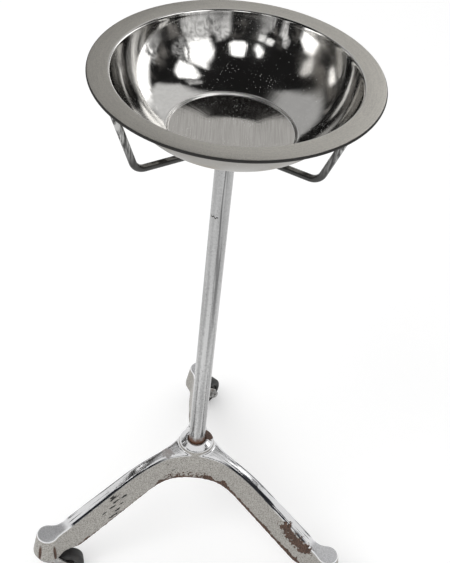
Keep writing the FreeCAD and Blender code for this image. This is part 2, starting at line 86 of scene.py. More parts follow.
# The node tree of a material or of the world
class Finish:
    def __init__(self, owner):
        owner.use_nodes = True
        self.owner = owner
        self.tree = owner.node_tree
        self.tree.nodes.clear()
        self.place = None

    def node(self, kind, settings, sockets, output=0):
        made = self.tree.nodes.new(kind)
        for key, value in settings.items():
            setattr(made, key, value)
        for key, value in sockets.items():
            if isinstance(value, Wire):
                self.tree.links.new(value.socket, made.inputs[key])
            else:
                made.inputs[key].default_value = value
        return Wire(self, made.outputs[output]) if made.outputs else None

    def split(self, vector):
        first = self.node("ShaderNodeSeparateXYZ", {}, {0: vector})
        return [Wire(self, socket) for socket in first.socket.node.outputs]

    def joined(self, x, y, z):
        return self.node("ShaderNodeCombineXYZ", {}, {0: x, 1: y, 2: z})

    def facing(self):
        return self.split(self.node("ShaderNodeNewGeometry", {}, {}, "Normal"))[2]

    def bearing(self, x, y):
        return self.node("ShaderNodeMath", {"operation": "ARCTAN2"}, {0: y, 1: x})

    def mapped(self, shift=(0, 0, 0), turn=(0, 0, 0), scale=(1, 1, 1)):
        sockets = {"Vector": self.place, "Location": shift, "Rotation": turn, "Scale": scale}
        return self.node("ShaderNodeMapping", {}, sockets)

    def noise(self, vector, scale, detail=2.0, twist=0.0):
        sockets = {"Vector": vector, "Scale": scale, "Detail": detail, "Distortion": twist}
        return self.node("ShaderNodeTexNoise", {}, sockets)

    def dots(self, vector, scale):
        return self.node("ShaderNodeTexVoronoi", {}, {"Vector": vector, "Scale": scale})

    def rise(self, value, low, high):
        sockets = {"Value": value, "From Min": low, "From Max": high}
        return self.node("ShaderNodeMapRange", {"interpolation_type": "SMOOTHSTEP"}, sockets)

    def band(self, value, low, high, soft):
        return self.rise(value, low - soft, low) * (1 - self.rise(value, high, high + soft))

    def most(self, *values):
        result = values[0]
        for value in values[1:]:
            result = self.node("ShaderNodeMath", {"operation": "MAXIMUM"}, {0: result, 1: value})
        return result

    def least(self, *values):
        result = values[0]
        for value in values[1:]:
            result = self.node("ShaderNodeMath", {"operation": "MINIMUM"}, {0: result, 1: value})
        return result

    def blend(self, factor, first, second):
        return self.node("ShaderNodeMix", {"data_type": "RGBA"}, {0: factor, 6: first, 7: second}, 2)

    def near(self, point, reach, vector=None):
        sockets = {0: vector or self.place, 1: point}
        away = self.node("ShaderNodeVectorMath", {"operation": "DISTANCE"}, sockets, "Value")
        return 1 - away / reach

    def bump(self, height, depth, strength=1.0):
        return self.node("ShaderNodeBump", {}, {"Height": height, "Distance": depth, "Strength": strength})

    def done(self, sockets):
        shader = self.node("ShaderNodeBsdfPrincipled", {}, sockets)
        self.node("ShaderNodeOutputMaterial", {}, {"Surface": shader})
        return self.owner


def surface(name):
    made = Finish(bpy.data.materials.new(name))
    made.place = made.node("ShaderNodeTexCoord", {}, {}, "Object")
    return made


def rgb(red, green, blue):
    return (red, green, blue, 1.0)


# Basin, spun from its section
basinLow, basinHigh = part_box("basin")
basinSizes = {
    "mouthRadius": 0.150,
    "wallSlope": 76,
    "wallDepth": 0.07975,
    "floorRadius": 0.080,
    "floorDrop": 0.0025,
    "stepInner": 0.0775,
    "stepOuter": 0.0815,
    "sheet": 0.001,
    "lipRadius": 0.004,
    "beadRadius": 0.0025,
    "beadTurn": 307,
    "steps": 192,
    "wallSteps": 40,
    "floorSteps": 10,
    "lipSteps": 8,
    "beadSteps": 18,
    "underLipSteps": 6,
    "underWallSteps": 32,
}
basinCentre = (basinLow + basinHigh) / 2
rimRadius = (basinHigh.x - basinLow.x) / 2
rimHeight = basinHigh.z


def arcPoints(centre, radius, start, end, count):
    angles = [radians(start + (end - start) * k / count) for k in range(count + 1)]
    return [(centre[0] + radius * cos(a), centre[1] + radius * sin(a)) for a in angles]


def stepPoints(inner, outer, low, high, count):
    shares = [k / count for k in range(count)]
    return [(inner + (outer - inner) * t, low + (high - low) * t * t * (3 - 2 * t)) for t in shares]


def finishedPiece(name, mesh):
    data = bpy.data.meshes.new(name)
    for face in mesh.faces:
        face.smooth = True
    mesh.to_mesh(data)
    mesh.free()
    piece = bpy.data.objects.new(name, data)
    bpy.context.scene.collection.objects.link(piece)
    return piece


def spunPiece(name, outline, centre, steps):
    mesh = bmesh.new()
    corners = [mesh.verts.new((centre.x + radius, centre.y, height)) for radius, height in outline]
    edges = [mesh.edges.new(pair) for pair in zip(corners, corners[1:])]
    bmesh.ops.spin(mesh, geom=corners + edges, cent=(centre.x, centre.y, 0), axis=(0, 0, 1), angle=2 * pi,
                   steps=steps, use_merge=True)
    bmesh.ops.remove_doubles(mesh, verts=mesh.verts, dist=1e-6)
    bmesh.ops.recalc_face_normals(mesh, faces=mesh.faces)
    return finishedPiece(name, mesh)


def basinOutline(sizes):
    sheet, lip, bead = (sizes[key] for key in ("sheet", "lipRadius", "beadRadius"))
    inner, outer, slope = sizes["stepInner"], sizes["stepOuter"], sizes["wallSlope"]
    inwards = Vector((-sin(radians(slope)), cos(radians(slope))))
    lipCentre = Vector((sizes["mouthRadius"] + lip * sin(radians(slope)), rimHeight - lip))
    wallTop = lipCentre + inwards * lip
    chord = Vector((sizes["floorRadius"], rimHeight - sizes["wallDepth"])) - wallTop
    curve = chord.length_squared / (2 * chord.dot(inwards))
    wallCentre = wallTop + inwards * curve
    foot = -degrees(acos((outer - wallCentre.x) / curve))
    outerFoot = -degrees(acos((outer - wallCentre.x) / (curve + sheet)))
    wall = arcPoints(wallCentre, curve, foot, slope - 90, sizes["wallSteps"])
    floorHeight = rimHeight - sizes["wallDepth"] - sizes["floorDrop"]
    beadCentre = (rimRadius - bead, rimHeight - bead)
    inside = [(0, floorHeight), (inner / 2, floorHeight)]
    inside += stepPoints(inner, outer, floorHeight, wall[0][1], sizes["floorSteps"]) + wall
    inside += arcPoints(lipCentre, lip, slope + 90, 90, sizes["lipSteps"])
    rolled = arcPoints(beadCentre, bead, 90, 90 - sizes["beadTurn"], sizes["beadSteps"])
    outside = arcPoints(lipCentre, lip - sheet, 90, slope + 90, sizes["underLipSteps"])
    outside += arcPoints(wallCentre, curve + sheet, slope - 90, outerFoot, sizes["underWallSteps"])
    outside += [(inner, floorHeight - sheet), (inner / 2, floorHeight - sheet), (0, floorHeight - sheet)]
    return inside + rolled + outside


washBasin = spunPiece("washBasin", basinOutline(basinSizes), basinCentre, basinSizes["steps"])
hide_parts("basin")
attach(washBasin, "basin")
print("basin spun")


# Casting, softened from its own solid so that its edges look cast and plated
castingSizes = {"voxel": 0.0017, "smoothing": 4, "weight": 0.5}


def softenedCasting(sizes):
    mesh = bmesh.new()
    mesh.from_mesh(frame["nodes"]["base_casting"].data)
    bmesh.ops.remove_doubles(mesh, verts=mesh.verts, dist=1e-6)
    rough = finishedPiece("castingRough", mesh)
    remesh = rough.modifiers.new("even", "REMESH")
    remesh.mode = "VOXEL"
    remesh.voxel_size = sizes["voxel"]
    ready = rough.evaluated_get(bpy.context.evaluated_depsgraph_get())
    mesh = bmesh.new()
    mesh.from_mesh(ready.to_mesh())
    bpy.data.objects.remove(rough)
    for _ in range(sizes["smoothing"]):
        bmesh.ops.smooth_vert(mesh, verts=mesh.verts, factor=sizes["weight"],
                              use_axis_x=True, use_axis_y=True, use_axis_z=True)
    return finishedPiece("tripodCasting", mesh)


tripodCasting = softenedCasting(castingSizes)
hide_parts("base_casting")
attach(tripodCasting, "stand")
print("casting softened:", len(tripodCasting.data.polygons), "faces")


# Stainless sheet: satin rim, mirror wall with water spots, brushed floor, dull outside; a painted shadow
# under the rolled bead, a painted highlight on the floor step and painted shade on the outside
basinLook = {
    "rim": rgb(0.70, 0.675, 0.62),
    "rimDark": rgb(0.57, 0.55, 0.51),
    "wall": rgb(0.70, 0.69, 0.67),
    "floor": rgb(0.50, 0.485, 0.46),
    "floorDark": rgb(0.43, 0.415, 0.39),
    "outside": rgb(0.33, 0.32, 0.30),
    "spotAndStepHighlight": rgb(0.80, 0.79, 0.77),
    "rimShadow": rgb(0.020, 0.019, 0.018),
    "soil": rgb(0.30, 0.26, 0.20),
    "wallRough": 0.045,
    "floorRough": 0.045,
    "stepRough": 0.34,
    "rimRough": 0.36,
    "rimShadowRough": 0.7,
    "soilSpot": (0.100, 0.075, 0.85),
    "soilReach": 0.075,
    "rimStart": 0.0012,
    "rimFull": 0.0035,
    "softEdge": 0.0006,
    "stepInset": 0.0014,
}


def basinSteel(look):
    made = surface("basinSteel")
    centred = made.mapped(shift=(-basinCentre.x, -basinCentre.y, 0))
    x, y, z = made.split(centred)
    radius = (x * x + y * y) ** 0.5
    facing = made.facing()
    mouth, soft = basinSizes["mouthRadius"], look["softEdge"]
    inner, outer = basinSizes["stepInner"], basinSizes["stepOuter"]
    rim = made.rise(radius, mouth + look["rimStart"], mouth + look["rimFull"])
    floor = 1 - made.rise(radius, inner - soft, inner + soft)
    step = made.band(radius, inner + look["stepInset"], outer - soft, soft)
    under = 1 - made.rise(facing, -0.12, 0.02)
    turn = made.bearing(x, y)
    grain = made.noise(centred, 900, 4.0)
    rings = made.noise(made.joined(radius * 700, turn * 5, z * 100), 1.0, 3.0)
    brushed = made.noise(made.mapped(scale=(1300, 26, 26)), 1.0, 4.0)
    upright = made.noise(made.joined(turn * 26, radius * 9, z * 16), 1.0, 3.0, 0.4)
    smudge = made.noise(centred, 22, 4.0, 0.6)
    film = made.rise(made.noise(centred, 11, 3.0, 0.5), 0.50, 0.66)
    spotted = made.rise(made.noise(centred, 26, 3.0), 0.46, 0.62)
    spots = (1 - made.rise(made.dots(centred, 360), 0.10, 0.17)) * spotted
    drops = (1 - made.rise(made.dots(centred, 210), 0.05, 0.09)) * (1 - film)
    spots = made.most(spots, drops) * (1 - rim)
    scored = made.mapped(turn=(0, 0, 0.7), scale=(1500, 12, 30))
    scratch = made.rise(made.noise(scored, 1.0, 2.0), 0.70, 0.76)
    soil = made.rise(made.near(look["soilSpot"], look["soilReach"]) + smudge, 0.80, 1.05) * grain
    wallRough = look["wallRough"] + 0.08 * smudge * upright + 0.09 * film + 0.14 * soil
    floorRough = look["floorRough"] + 0.05 * brushed + 0.06 * scratch
    rimRough = look["rimRough"] + 0.10 * grain + 0.06 * rings
    roughness = wallRough + (floorRough - wallRough) * floor
    roughness = roughness + (look["stepRough"] - roughness) * step
    roughness = roughness + (rimRough - roughness) * rim
    roughness = roughness + 0.30 * under * (0.5 + smudge)
    colour = made.blend(soil * 0.6, look["wall"], look["soil"])
    floorColour = made.blend(made.rise(brushed, 0.36, 0.62), look["floorDark"], look["floor"])
    colour = made.blend(floor, colour, floorColour)
    # Painted highlight: the step ring at the edge of the floor takes the brighter spot colour for the
    # bright line along the crease
    colour = made.blend(step, colour, look["spotAndStepHighlight"])
    # The down-facing outside is coloured darker: partly its duller, stained finish, partly painted shade
    # on the underside
    stained = made.blend(made.rise(smudge, 0.50, 0.68) * 0.6, look["outside"], look["soil"])
    colour = made.blend(under, colour, stained)
    rimColour = made.blend(made.rise(grain * 0.7 + rings * 0.3, 0.38, 0.62), look["rimDark"], look["rim"])
    colour = made.blend(rim, colour, rimColour)
    colour = made.blend(spots, colour, look["spotAndStepHighlight"])
    # Painted shadow and painted dark reflection: the outer and under side of the rolled bead is coloured
    # near black for the shadow gap under the rim
    rimShadow = rim * (1 - made.rise(facing + 0.1 * smudge, 0.84, 1.04))
    colour = made.blend(rimShadow, colour, look["rimShadow"])
    roughness = roughness + (look["rimShadowRough"] - roughness) * rimShadow
    waves = made.noise(centred, 14, 1.0) + 0.05 * upright
    height = waves * (1 - rim) + (rings * 0.05 + grain * 0.05) * rim + brushed * 0.006 * floor
    normal = made.bump(height, 0.0016, 0.35)
    metal = 1 - 0.75 * made.most(spots, rimShadow)
    return made.done({"Base Color": colour, "Roughness": roughness, "Metallic": metal, "Normal": normal})


# Plate on the rods of the carrier, with painted light and shade: near black by default, painted highlights
# on the upper rods and along the tops of the bars, and a painted shadow on the ring under the rim
carrierLook = {
    "bright": rgb(0.52, 0.52, 0.51),
    "dark": rgb(0.045, 0.045, 0.044),
    "stain": rgb(0.16, 0.12, 0.09),
    "rough": 0.14,
    "paintedLightHeights": (0.785, 0.845),
    "ringShadowHeights": (0.856, 0.863),
}


def carrierChrome(look):
    made = surface("carrierChrome")
    x, y, z = made.split(made.place)
    cloud = made.noise(made.place, 60, 4.0, 0.4)
    pits = 1 - made.rise(made.dots(made.place, 700), 0.08, 0.2)
    drawn = made.noise(made.joined(x * 330, y * 330, z * 24), 1.0, 3.0)
    # Painted light: the rods are coloured bright only high up, near the rim, and a painted highlight runs
    # along the upward-facing tops of the bars
    high = made.rise(z + 0.02 * cloud, *look["paintedLightHeights"])
    top = made.rise(made.facing() + 0.3 * (cloud - 0.5), 0.62, 0.86)
    # Painted shadow: a dark band on the ring under the rim
    ringShadow = made.rise(z, *look["ringShadowHeights"])
    bright = made.most(high * made.rise(drawn, 0.40, 0.62), 0.8 * top * made.rise(cloud, 0.36, 0.52))
    # Painted shade: everything outside these painted highlights stays near black
    colour = made.blend((bright * 0.9 + 0.1 * cloud) * (1 - ringShadow), look["dark"], look["bright"])
    colour = made.blend(pits * made.rise(cloud, 0.5, 0.65), colour, look["stain"])
    normal = made.bump(made.noise(made.place, 300, 3.0) - pits * 0.5, 0.0003, 0.3)
    roughness = look["rough"] + 0.2 * cloud
    return made.done({"Base Color": colour, "Roughness": roughness, "Metallic": 1.0, "Normal": normal})


# Bright tube with fine pitting, long smears, a hairline mark and a painted dark reflection band
columnLook = {
    "bright": rgb(0.56, 0.56, 0.56),
    "smear": rgb(0.33, 0.33, 0.33),
    "shade": rgb(0.15, 0.15, 0.15),
    "pit": rgb(0.05, 0.048, 0.045),
    "rust": rgb(0.13, 0.062, 0.035),
    "markHeight": 0.664,
    "markReach": 0.0012,
    "markEnd": (-0.003, -0.0015),
    "frontDepth": (0.004, 0.006),
    "shadeSide": (0.0035, 0.0085),
    "shadeSoft": 0.0012,
    "shadeHeights": (0.34, 0.60),
    "upperDarkHeights": (0.36, 0.66),
    "dullHeights": (0.35, 0.50),
    "rustHeights": (0.224, 0.238),
    "rough": 0.07,
}


def columnChrome(look):
    made = surface("columnChrome")
    x, y, z = made.split(made.place)
    smear = made.noise(made.mapped(scale=(170, 170, 5)), 1.0, 4.0, 0.3)
    mottle = made.noise(made.place, 320, 3.0)
    patch = made.rise(made.noise(made.place, 16, 3.0), 0.40, 0.60)
    pits = (1 - made.rise(made.dots(made.place, 300), 0.12, 0.22)) * patch
    low = 1 - made.rise(z + 0.02 * made.noise(made.place, 160, 4.0), *look["rustHeights"])
    wave = z - look["markHeight"]
    wave = wave - look["markReach"] * made.node("ShaderNodeMath", {"operation": "SINE"}, {0: x * 1400})
    line = 1 - made.rise(wave * wave, 0.0000006, 0.0000018)
    front = made.rise(0 - y, *look["frontDepth"])
    mark = line * front * (1 - made.rise(x, *look["markEnd"]))
    # Painted reflection: a dark vertical band on the right front of the upper tube stands in for dark
    # surroundings mirrored there
    side = made.band(x + 0.004 * smear, *look["shadeSide"], look["shadeSoft"]) * front
    shade = side * made.rise(z, *look["shadeHeights"]) * made.rise(smear, 0.30, 0.50)
    colour = made.blend(made.rise(0.7 * smear + 0.3 * mottle, 0.40, 0.62), look["bright"], look["smear"])
    # Darker towards the top of the tube
    colour = made.blend(made.rise(z, *look["upperDarkHeights"]) * (0.4 + 0.4 * mottle), colour, look["smear"])
    colour = made.blend(shade, colour, look["shade"])
    colour = made.blend(made.most(pits * 0.8, mark), colour, look["pit"])
    colour = made.blend(low, colour, look["rust"])
    roughness = look["rough"] + 0.12 * smear + 0.10 * made.rise(z, *look["dullHeights"])
    roughness = roughness + 0.3 * pits + 0.4 * low
    normal = made.bump(made.noise(made.place, 40, 2.0) - pits * 0.15, 0.0006, 0.25)
    metal = 1 - 0.8 * low
    return made.done({"Base Color": colour, "Roughness": roughness, "Metallic": metal, "Normal": normal})


# Plated casting: polished backs with painted dark reflections and painted highlights on the pad edges,
# sandy sides, rust where the plate has gone
castingLook = {
    "polished": rgb(0.68, 0.68, 0.685),
    "reflectedDark": rgb(0.035, 0.038, 0.045),
    "pad": rgb(0.62, 0.62, 0.63),
    "padDark": rgb(0.42, 0.42, 0.43),
    "padEdgeHighlight": rgb(0.92, 0.92, 0.93),
    "sandy": rgb(0.475, 0.46, 0.43),
    "sandyDark": rgb(0.215, 0.205, 0.19),
    "rust": rgb(0.112, 0.062, 0.043),
    "rustDark": rgb(0.042, 0.025, 0.018),
    "chip": rgb(0.020, 0.018, 0.017),
    "archCrown": 0.151,
    "archFall": 0.6243,
    "heelRadius": 0.2044,
    "footBottom": 0.064,
    "bareSide": [(0.152, -0.099, 0.128), (0.160, -0.104, 0.118), (0.170, -0.110, 0.109),
                 (0.181, -0.117, 0.102)],
    "bareReach": 0.019,
    "strokeSpots": [(-0.116, -0.079, 0.138), (-0.122, -0.085, 0.118)],
    "strokeReach": 0.024,
    "crownWear": [(-0.030, -0.035, 0.152), (-0.010, -0.032, 0.152), (0.012, -0.032, 0.152)],
    "crownReach": 0.026,
    "runs": [(-0.2280, -0.1445, 0), (-0.2050, -0.1425, 0)],
    "runReach": 0.004,
    "tubeRust": (0.0165, 0.008, 0.210),
    "tubeReach": 0.015,
    "hubRust": (-0.0435, -0.024, 0.199),
    "hubReach": 0.018,
    "collarRadii": (0.0180, 0.0196),
    "collarHeights": (0.200, 0.204),
    "runHeights": (0.098, 0.108),
    "reflectionRadii": (0.045, 0.075),
    "padRadii": (0.212, 0.222),
    "sideRough": 0.38,
    "backRough": 0.10,
    "rustRough": 0.75,
}


def platedIron(look):
    made = surface("platedIron")
    x, y, z = made.split(made.place)
    radius = (x * x + y * y) ** 0.5
    facing = made.facing()
    back = made.rise(facing, 0.30, 0.62)
    third = {0: made.bearing(x, y) - pi / 2, 1: pi / 3, 2: -pi / 3}
    swing = made.node("ShaderNodeMath", {"operation": "WRAP"}, third)
    across = radius * made.node("ShaderNodeMath", {"operation": "SINE"}, {0: swing})
    cloud = made.noise(made.place, 35, 5.0, 0.3)
    speck = made.noise(made.place, 520, 4.0)
    fine = made.noise(made.place, 1400, 3.0)
    drawn = made.noise(made.joined(radius * 9, across * 330, x * 6), 1.0, 2.0, 0.2)
    strokes = made.noise(made.joined((radius - z) * 48, (radius + 1.6 * z) * 105, across * 30), 1.0, 2.0)
    slope = look["footBottom"] + (look["heelRadius"] - radius) * look["archFall"]
    edge = z - made.least(slope, look["archCrown"])
    ragged = made.noise(made.place, 170, 6.0, 0.4)
    worn = 0.0025 + 0.005 * made.rise(x, 0.0, 0.08) + 0.003 * made.rise(radius, 0.16, 0.20)
    worn = worn + 0.009 * made.rise(cloud, 0.48, 0.66) + 0.014 * (ragged - 0.5)
    crown = made.most(*[made.near(point, look["crownReach"]) for point in look["crownWear"]])
    crown = made.rise(crown, 0.0, 0.5)
    chipped = made.rise(made.noise(made.mapped(scale=(1, 1, 1.6)), 210, 4.0, 0.5), 0.50, 0.56)
    line = 1 - made.rise(edge - worn - 0.012 * crown * chipped, 0.0, 0.0012)
    bare = made.most(*[made.near(point, look["bareReach"]) for point in look["bareSide"]])
    bare = made.rise(bare + 1.6 * (ragged - 0.5) + 0.8 * (cloud - 0.5), 0.34, 0.42)
    collar = 1 - made.rise(radius + 0.005 * speck + 0.004 * cloud, *look["collarRadii"])
    tubeRust = made.rise(made.near(look["tubeRust"], look["tubeReach"]) + 1.0 * (ragged - 0.5), 0.18, 0.28)
    hubRust = made.near(look["hubRust"], look["hubReach"]) + 1.6 * (ragged - 0.5)
    hubRust = made.rise(hubRust, 0.45, 0.70) * 0.6
    flat = made.mapped(scale=(1, 1, 0))
    runs = made.most(*[made.near(point, look["runReach"], flat) for point in look["runs"]])
    runs = made.rise(runs + 0.7 * speck, 0.62, 0.82)
    runs = runs * (1 - made.rise(z + 0.02 * cloud, *look["runHeights"]))
    collar = collar * made.rise(z, *look["collarHeights"])
    rust = made.most(line * (1 - back), bare, collar, tubeRust, hubRust, runs)
    spots = made.most(*[made.near(point, look["strokeReach"]) for point in look["strokeSpots"]])
    chips = made.rise(strokes + 0.20 * made.rise(spots, 0.0, 0.5), 0.745, 0.757) * (1 - back)
    grit = made.rise(0.5 * speck + 0.5 * fine, 0.38, 0.60)
    sand = made.blend(grit, look["sandyDark"], look["sandy"])
    pad = made.rise(radius, *look["padRadii"])
    # Painted reflection: dark lines along the polished backs of the legs, for dark surroundings mirrored
    # in their rounded shoulders
    shoulder = made.rise(across * across, 0.000002, 0.00006)
    darkReflections = made.rise(drawn + 0.20 * shoulder + 0.3 * (cloud - 0.5), 0.58, 0.66)
    darkReflections = darkReflections * made.rise(radius, *look["reflectionRadii"]) * (1 - pad)
    shine = made.blend(darkReflections, look["polished"], look["reflectedDark"])
    speckled = made.blend(made.rise(0.5 * speck + 0.5 * fine, 0.38, 0.62), look["padDark"], look["pad"])
    # Painted highlight: the rounded edges of the foot pads are coloured near white
    speckled = made.blend(made.rise(facing, 0.80, 0.94), look["padEdgeHighlight"], speckled)
    shine = made.blend(pad, shine, speckled)
    colour = made.blend(back, sand, shine)
    rustColour = made.blend(made.rise(speck, 0.40, 0.60), look["rustDark"], look["rust"])
    colour = made.blend(rust, colour, rustColour)
    colour = made.blend(chips, colour, look["chip"])
    plate = look["sideRough"] + 0.14 * speck
    roughness = plate + (look["backRough"] + 0.12 * cloud + 0.30 * pad - plate) * back
    roughness = roughness + (look["rustRough"] - roughness) * made.most(rust, chips)
    lumps = made.noise(made.place, 55, 3.0)
    height = lumps * 0.8 + drawn * 0.25 * back * (1 - pad)
    height = height + (fine * 0.08 + speck * 0.08) * (1 - back) - rust * 0.2 - chips * 0.2
    normal = made.bump(height, 0.0012, 0.45)
    metal = 1 - 0.85 * made.most(rust, chips)
    return made.done({"Base Color": colour, "Roughness": roughness, "Metallic": metal, "Normal": normal})


# Pressed and turned steel of the casters and the fixings
casterLook = {
    "bright": rgb(0.50, 0.50, 0.49),
    "dull": rgb(0.30, 0.295, 0.285),
    "rust": rgb(0.13, 0.07, 0.045),
    "rough": 0.28,
}
fixingLook = {
    "bright": rgb(0.48, 0.48, 0.475),
    "dull": rgb(0.26, 0.255, 0.25),
    "rust": rgb(0.12, 0.065, 0.04),
    "rough": 0.28,
}


def wornSteel(name, look):
    made = surface(name)
    cloud = made.noise(made.place, 120, 4.0, 0.3)
    speck = made.noise(made.place, 700, 3.0)
    rust = made.rise(0.6 * cloud + 0.4 * speck, 0.56, 0.62)
    colour = made.blend(made.rise(cloud, 0.35, 0.65), look["dull"], look["bright"])
    colour = made.blend(rust, colour, look["rust"])
    normal = made.bump(speck, 0.0002, 0.4)
    roughness = look["rough"] + 0.2 * speck + 0.3 * rust
    metal = 1 - 0.8 * rust
    return made.done({"Base Color": colour, "Roughness": roughness, "Metallic": metal, "Normal": normal})


# Turned brass of the axle bushes
bushLook = {"bright": rgb(0.70, 0.52, 0.27), "dull": rgb(0.42, 0.30, 0.15), "rough": 0.25}


def bushBrass(look):
    made = surface("bushBrass")
    turned = made.noise(made.mapped(scale=(300, 300, 300)), 1.0, 3.0)
    colour = made.blend(made.rise(turned, 0.4, 0.6), look["dull"], look["bright"])
    return made.done({"Base Color": colour, "Roughness": look["rough"] + 0.2 * turned, "Metallic": 1.0})


# Moulded wheel centre and rubber tread, scuffed
centreLook = {"base": rgb(0.030, 0.029, 0.028), "worn": rgb(0.070, 0.068, 0.065), "rough": 0.42}
treadLook = {"base": rgb(0.011, 0.011, 0.011), "worn": rgb(0.036, 0.034, 0.031), "rough": 0.55}


def darkMoulding(name, look):
    made = surface(name)
    cloud = made.noise(made.place, 90, 5.0)
    grit = made.noise(made.place, 900, 3.0)
    worn = made.rise(0.6 * cloud + 0.4 * grit, 0.48, 0.66)
    colour = made.blend(worn, look["base"], look["worn"])
    normal = made.bump(grit, 0.0002, 0.5)
    return made.done({"Base Color": colour, "Roughness": look["rough"] + 0.2 * worn, "Normal": normal})


finishes = {
    "basin_steel": basinSteel(basinLook),
    "carrier_chrome": carrierChrome(carrierLook),
    "column_chrome": columnChrome(columnLook),
    "plated_iron": platedIron(castingLook),
    "caster_steel": wornSteel("casterSteel", casterLook),
    "plain_steel": wornSteel("plainSteel", fixingLook),
    "bush_brass": bushBrass(bushLook),
    "wheel_centre": darkMoulding("wheelCentre", centreLook),
    "black_rubber": darkMoulding("blackRubber", treadLook),
}
for subpart in frame["record"]["subparts"]:
    node = frame["nodes"][subpart["node"]]
    for holder in node.material_slots:
        holder.material = finishes[subpart["material_slot"]]
washBasin.data.materials.append(finishes["basin_steel"])
tripodCasting.data.materials.append(finishes["plated_iron"])
print("materials made:", len(finishes))


# Floor, soft light and the cards that the polished steel mirrors
stageSizes = {
    "floor": 6.0,
    "cardRadius": 0.86,
    "cardHeight": 0.87,
    "cardEdge": 0.24,
    "cardSpread": 0.10,
    "stripeScale": 38.0,
    "stripeStretch": 0.05,
    "hoodRadius": 0.95,
    "hoodBottom": 1.06,
    "skirtRadius": 0.93,
    "canopyRadius": 0.34,
    "canopyHeight": 0.76,
    "clutterLow": 1.25,
    "clutterHigh": 1.55,
    "cardRows": 4,
    "hoodSegments": 48,
    "hoodRings": 24,
    "canopySegments": 64,
    "skirtBearings": (-152, 89, 10),
    "skirtElevations": (-1, 15),
}
stageLook = {
    "floor": rgb(0.90, 0.90, 0.90),
    "lift": rgb(0.17, 0.17, 0.17),
    "dark": rgb(0.012, 0.012, 0.012),
    "clutter": rgb(0.22, 0.21, 0.20),
    "sky": 0.85,
    "floorRough": 0.9,
    "floorSheen": 0.1,
}


def stagePiece(name, mesh, material):
    piece = finishedPiece(name, mesh)
    piece.data.materials.append(material)
    return piece


def onlyMirrored(piece):
    piece.visible_camera = False
    piece.visible_diffuse = False
    piece.visible_transmission = False
    piece.visible_shadow = False


def seenRay(made):
    ways = ("Is Camera Ray", "Is Glossy Ray", "Is Transmission Ray")
    return made.most(*[made.node("ShaderNodeLightPath", {}, {}, way) for way in ways])


def glow(name, look, sizes):
    made = surface(name)
    stretched = made.mapped(scale=(1, 1, sizes["stripeStretch"]))
    upright = made.rise(made.noise(stretched, sizes["stripeScale"], 3.0), 0.34, 0.66)
    low, high = 1 - look["stripes"], 1 + look["stripes"]
    uneven = made.blend(upright, rgb(low, low, low), rgb(high, high, high))
    lit = made.node("ShaderNodeEmission", {}, {"Color": uneven, "Strength": look["level"]})
    along, up, _ = made.split(made.node("ShaderNodeUVMap", {"uv_map": "card"}, {}))
    shares = [made.rise(share, 0, sizes["cardEdge"]) for share in (along, 1 - along, up, 1 - up)]
    clear = made.node("ShaderNodeBsdfTransparent", {}, {})
    lit = made.node("ShaderNodeMixShader", {}, {0: made.least(*shares), 1: clear, 2: lit})
    made.node("ShaderNodeOutputMaterial", {}, {"Surface": lit})
    return made.owner


def darkGlow(sizes, look):
    made = surface("darkGlow")
    height = made.split(made.place)[2]
    clutter = made.rise(made.noise(made.mapped(scale=(1, 1, 0.5)), 4.0, 4.0), 0.48, 0.66)
    low = 1 - made.rise(height, sizes["clutterLow"], sizes["clutterHigh"])
    uneven = made.blend(clutter * low, look["dark"], look["clutter"])
    lit = made.node("ShaderNodeEmission", {}, {"Color": uneven})
    made.node("ShaderNodeOutputMaterial", {}, {"Surface": lit})
    return made.owner


def studioFloor(sizes, look):
    mesh = bmesh.new()
    bmesh.ops.create_grid(mesh, x_segments=1, y_segments=1, size=sizes["floor"])
    made = surface("studioFloor")
    lift = made.blend(seenRay(made), rgb(0, 0, 0), look["lift"])
    material = made.done({"Base Color": look["floor"], "Roughness": look["floorRough"],
                          "Specular IOR Level": look["floorSheen"], "Emission Color": lift,
                          "Emission Strength": 1.0})
    stagePiece("studioFloor", mesh, material)


def darkHood(sizes, material):
    mesh = bmesh.new()
    bmesh.ops.create_uvsphere(mesh, u_segments=sizes["hoodSegments"], v_segments=sizes["hoodRings"],
                              radius=sizes["hoodRadius"])
    bmesh.ops.translate(mesh, verts=mesh.verts, vec=(0, 0, sizes["hoodBottom"]))
    cut = mesh.verts[:] + mesh.edges[:] + mesh.faces[:]
    bmesh.ops.bisect_plane(mesh, geom=cut, plane_co=(0, 0, sizes["hoodBottom"]), plane_no=(0, 0, -1),
                           clear_outer=True)
    onlyMirrored(stagePiece("darkHood", mesh, material))


def whiteCanopy(sizes):
    mesh = bmesh.new()
    bmesh.ops.create_circle(mesh, cap_ends=True, segments=sizes["canopySegments"],
                            radius=sizes["canopyRadius"])
    bmesh.ops.translate(mesh, verts=mesh.verts, vec=(0, 0, sizes["canopyHeight"]))
    made = surface("canopyGlow")
    lit = made.node("ShaderNodeEmission", {}, {"Color": rgb(1, 1, 1), "Strength": 1.0})
    made.node("ShaderNodeOutputMaterial", {}, {"Surface": lit})
    onlyMirrored(stagePiece("whiteCanopy", mesh, made.owner))


